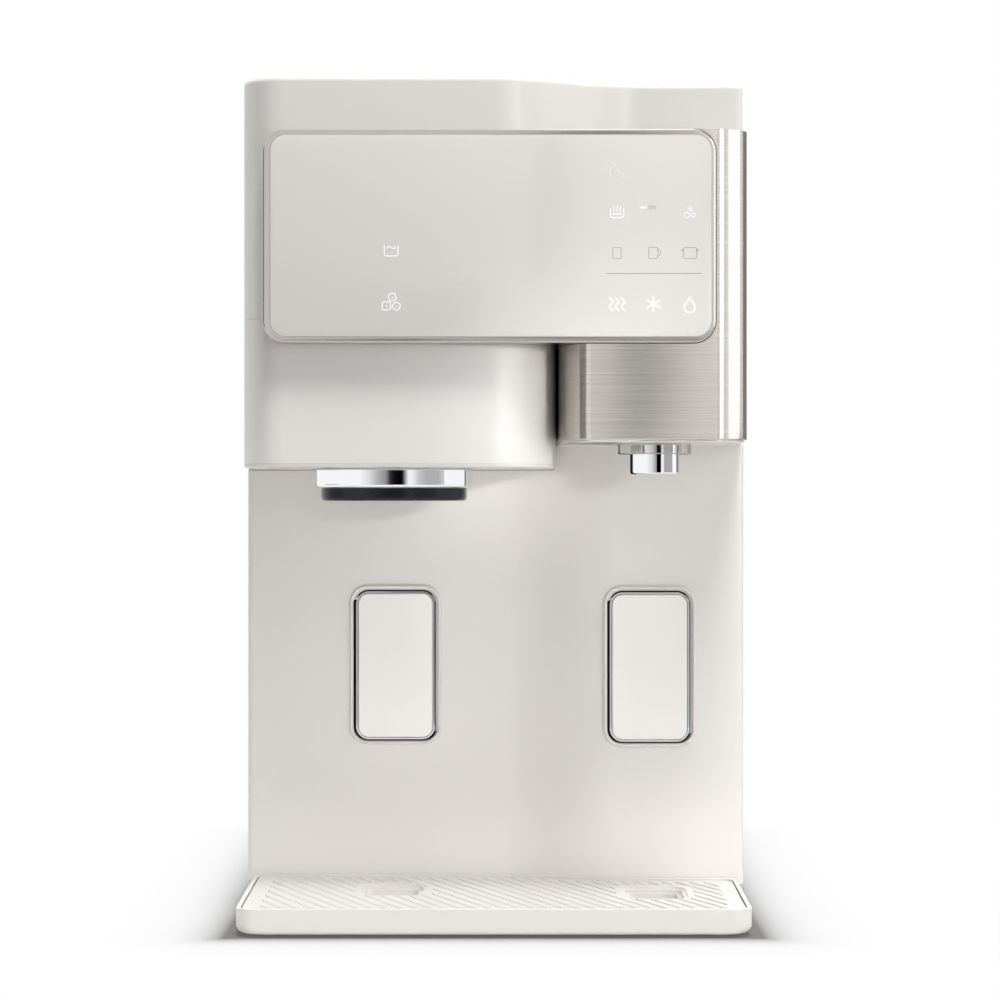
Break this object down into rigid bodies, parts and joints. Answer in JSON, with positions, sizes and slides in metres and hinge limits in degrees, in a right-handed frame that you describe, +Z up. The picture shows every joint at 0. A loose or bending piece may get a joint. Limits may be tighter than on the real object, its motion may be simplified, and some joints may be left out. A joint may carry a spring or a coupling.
{
  "type": "countertop water dispenser with ice maker",
  "caption": "Countertop water dispenser with an ice maker: touch panel, brushed metal cover, two push levers, ice chute, tap, drip tray, and its inner works.",
  "frame": {"origin": "on the floor, at the middle of the whole object's box seen from above", "axes": "+Z up, -Y towards the user at the front, +X to the user's right when facing the front"},
  "size_m": [0.3, 0.52, 0.4815],
  "materials": {
    "warm_white_abs": "satin moulded ABS, warm white",
    "splash_wall_abs": "fine matt moulded ABS, warm white",
    "lever_abs": "satin moulded ABS, bright white",
    "brushed_steel": "horizontally brushed stainless sheet",
    "champagne_trim": "bright plated trim",
    "chrome": "bright chrome plate",
    "back_painted_glass": "back-painted touch glass, warm light grey",
    "clear_acrylic": "clear moulded acrylic",
    "black_abs": "gloss black ABS",
    "dark_grey_abs": "dark grey moulded plastic",
    "rubber": "moulded black rubber",
    "galvanised_steel": "galvanised sheet steel",
    "stainless_steel": "plain stainless steel",
    "black_enamel": "black enamelled pressed steel",
    "pale_inner_plastic": "pale food-safe polypropylene",
    "circuit_board": "green solder mask over glass fibre",
    "aluminium": "plain aluminium",
    "blue_nylon": "blue moulded nylon"
  },
  "bodies": {
    "cabinet": {"base_pan": "galvanised_steel", "foot_front_left": "rubber", "foot_front_right": "rubber", "foot_rear_left": "rubber", "foot_rear_right": "rubber", "lower_front_cover": "splash_wall_abs", "left_side_cover": "warm_white_abs", "right_side_cover": "warm_white_abs", "rear_cover": "galvanised_steel", "top_deck": "warm_white_abs", "hood": "warm_white_abs", "ice_housing": "warm_white_abs", "ice_housing_base": "warm_white_abs", "ice_chute_ring": "chrome", "ice_chute_mouth": "black_abs", "metal_cover": "brushed_steel", "tap_housing_base": "warm_white_abs", "tap_nozzle": "chrome", "nozzle_collar": "clear_acrylic", "panel_frame": "champagne_trim", "panel_glass": "back_painted_glass", "display_board": "circuit_board", "ice_lever_housing": "dark_grey_abs", "ice_lever_spring": "stainless_steel", "water_lever_housing": "dark_grey_abs", "water_lever_spring": "stainless_steel", "mid_deck": "galvanised_steel", "ice_bin": "pale_inner_plastic", "auger_motor": "dark_grey_abs", "ice_chute": "pale_inner_plastic", "gate_motor": "dark_grey_abs", "ice_maker_frame": "stainless_steel", "evaporator": "aluminium", "water_tray_motor": "dark_grey_abs", "compressor": "black_enamel", "condenser": "aluminium", "fan_shroud": "dark_grey_abs", "fan_motor": "galvanised_steel", "filter_head": "dark_grey_abs", "filter_cartridge": "pale_inner_plastic", "cold_tank": "stainless_steel", "hot_tank": "stainless_steel", "water_pump": "dark_grey_abs", "water_hose": "clear_acrylic", "main_board": "circuit_board", "power_inlet": "black_abs", "switch_housing": "black_abs", "water_fitting_block": "blue_nylon"},
    "ice_lever": {"ice_lever": "chrome", "ice_lever_face": "lever_abs"},
    "water_lever": {"water_lever": "chrome", "water_lever_face": "lever_abs"},
    "drip_tray": {"drip_tray": "warm_white_abs"},
    "drip_grille": {"drip_grille": "warm_white_abs"},
    "ice_gate": {"ice_gate": "pale_inner_plastic"},
    "ice_auger": {"ice_auger": "stainless_steel"},
    "water_tray": {"water_tray": "pale_inner_plastic"},
    "fan_rotor": {"fan_rotor": "dark_grey_abs"},
    "main_switch": {"main_switch": "black_abs"},
    "top_lid": {"top_lid": "warm_white_abs"}
  },
  "joints": [
    {"name": "ice_lever_push", "type": "hinge", "parent": "cabinet", "child": "ice_lever", "pos_m": [-0.0601, -0.0966, 0.1836], "axis": [1, 0, 0], "range_deg": [0, 7], "stiffness_Nm_per_rad": 0.4, "springref_deg": -11.46},
    {"name": "water_lever_push", "type": "hinge", "parent": "cabinet", "child": "water_lever", "pos_m": [0.0934, -0.1156, 0.1836], "axis": [1, 0, 0], "range_deg": [0, 7], "stiffness_Nm_per_rad": 0.4, "springref_deg": -11.46},
    {"name": "tray_slide", "type": "slide", "parent": "cabinet", "child": "drip_tray", "axis": [0, -1, 0], "range_m": [0, 0.12]},
    {"name": "grille_lift", "type": "slide", "parent": "drip_tray", "child": "drip_grille", "axis": [0, 0, 1], "range_m": [0, 0.025]},
    {"name": "gate_open", "type": "hinge", "parent": "cabinet", "child": "ice_gate", "pos_m": [-0.0585, -0.1449, 0.2857], "axis": [1, 0, 0], "range_deg": [0, 60]},
    {"name": "auger_turn", "type": "hinge", "parent": "cabinet", "child": "ice_auger", "pos_m": [-0.0585, 0.08, 0.3185], "axis": [0, 1, 0], "continuous": true},
    {"name": "water_tray_tip", "type": "hinge", "parent": "cabinet", "child": "water_tray", "pos_m": [-0.0585, 0.062, 0.411], "axis": [1, 0, 0], "range_deg": [0, 60]},
    {"name": "fan_spin", "type": "hinge", "parent": "cabinet", "child": "fan_rotor", "pos_m": [0.076, 0.2043, 0.0813], "axis": [0, 1, 0], "continuous": true},
    {"name": "main_switch_rock", "type": "hinge", "parent": "cabinet", "child": "main_switch", "pos_m": [-0.066, 0.2495, 0.33], "axis": [1, 0, 0], "range_deg": [0, 16]},
    {"name": "top_lid_hinge", "type": "hinge", "parent": "cabinet", "child": "top_lid", "pos_m": [0, 0.15, 0.4791], "axis": [-1, 0, 0], "range_deg": [0, 95]}
  ]
}
